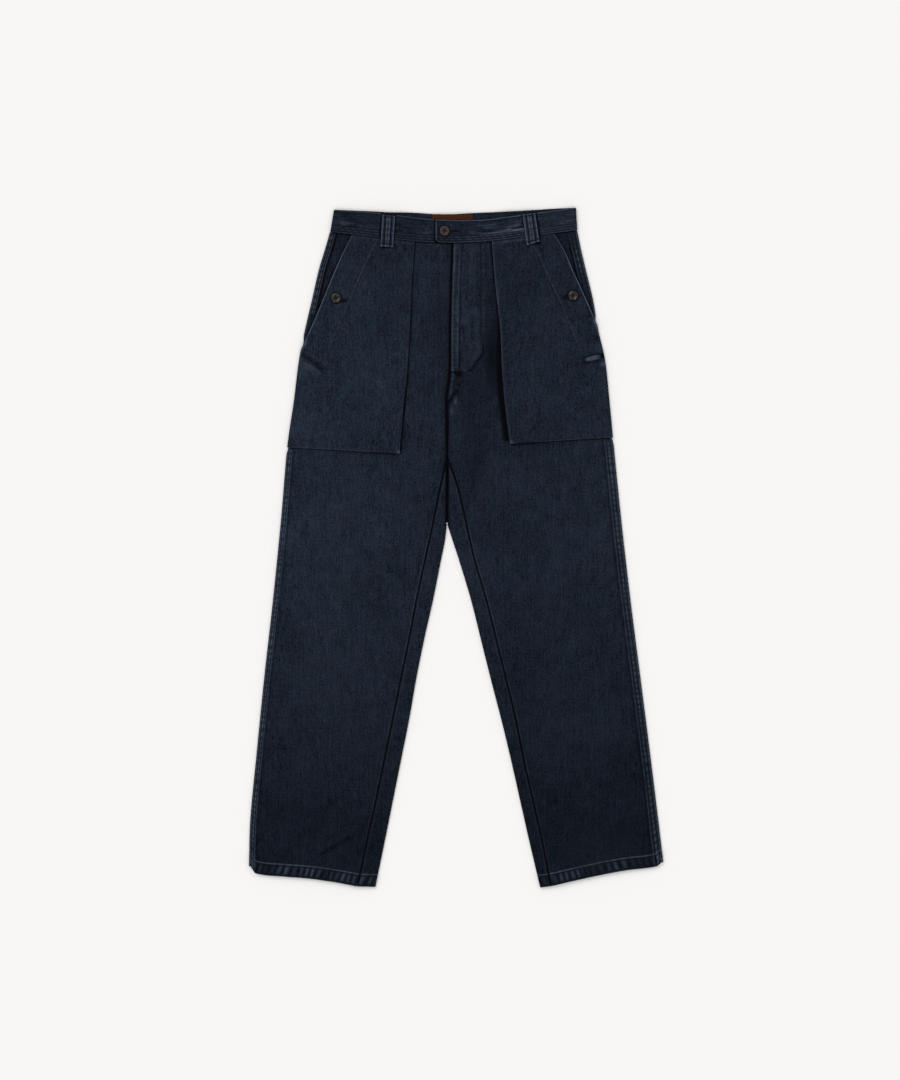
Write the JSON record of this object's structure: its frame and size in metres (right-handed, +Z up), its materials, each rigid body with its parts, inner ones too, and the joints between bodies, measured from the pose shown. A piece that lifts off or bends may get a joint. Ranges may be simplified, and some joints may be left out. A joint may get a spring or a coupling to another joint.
{
  "type": "work trousers",
  "caption": "Straight cotton work trousers laid flat, front up, with a buttoned waistband and fly, slanted patch pockets that button, belt loops and turned hems.",
  "frame": {"origin": "on the surface that the trousers lie on, under the middle of their box", "axes": "+Y towards the waist, +X towards the wearer's left, +Z up, out of the front"},
  "size_m": [0.6627, 1.0868, 0.0142],
  "materials": {
    "navy_cotton": "washed, matt, paler along the seams",
    "woven_label": "bare woven tape",
    "waist_button": "dull dark blue",
    "pocket_button": "polished dark brown horn look"
  },
  "bodies": {
    "root": {"back_left": "navy_cotton", "back_right": "navy_cotton", "front_left": "navy_cotton", "front_right": "navy_cotton", "pocket_left": "navy_cotton", "pocket_right": "navy_cotton", "waistband_left": "navy_cotton", "waistband_right": "navy_cotton", "fly_shield": "navy_cotton", "waist_label": "woven_label", "belt_loop_front_left": "navy_cotton", "belt_loop_front_right": "navy_cotton", "belt_loop_back_left": "navy_cotton", "belt_loop_back_centre": "navy_cotton", "belt_loop_back_right": "navy_cotton", "button_waist": "waist_button", "button_pocket_left": "pocket_button", "button_pocket_right": "pocket_button"}
  },
  "joints": []
}
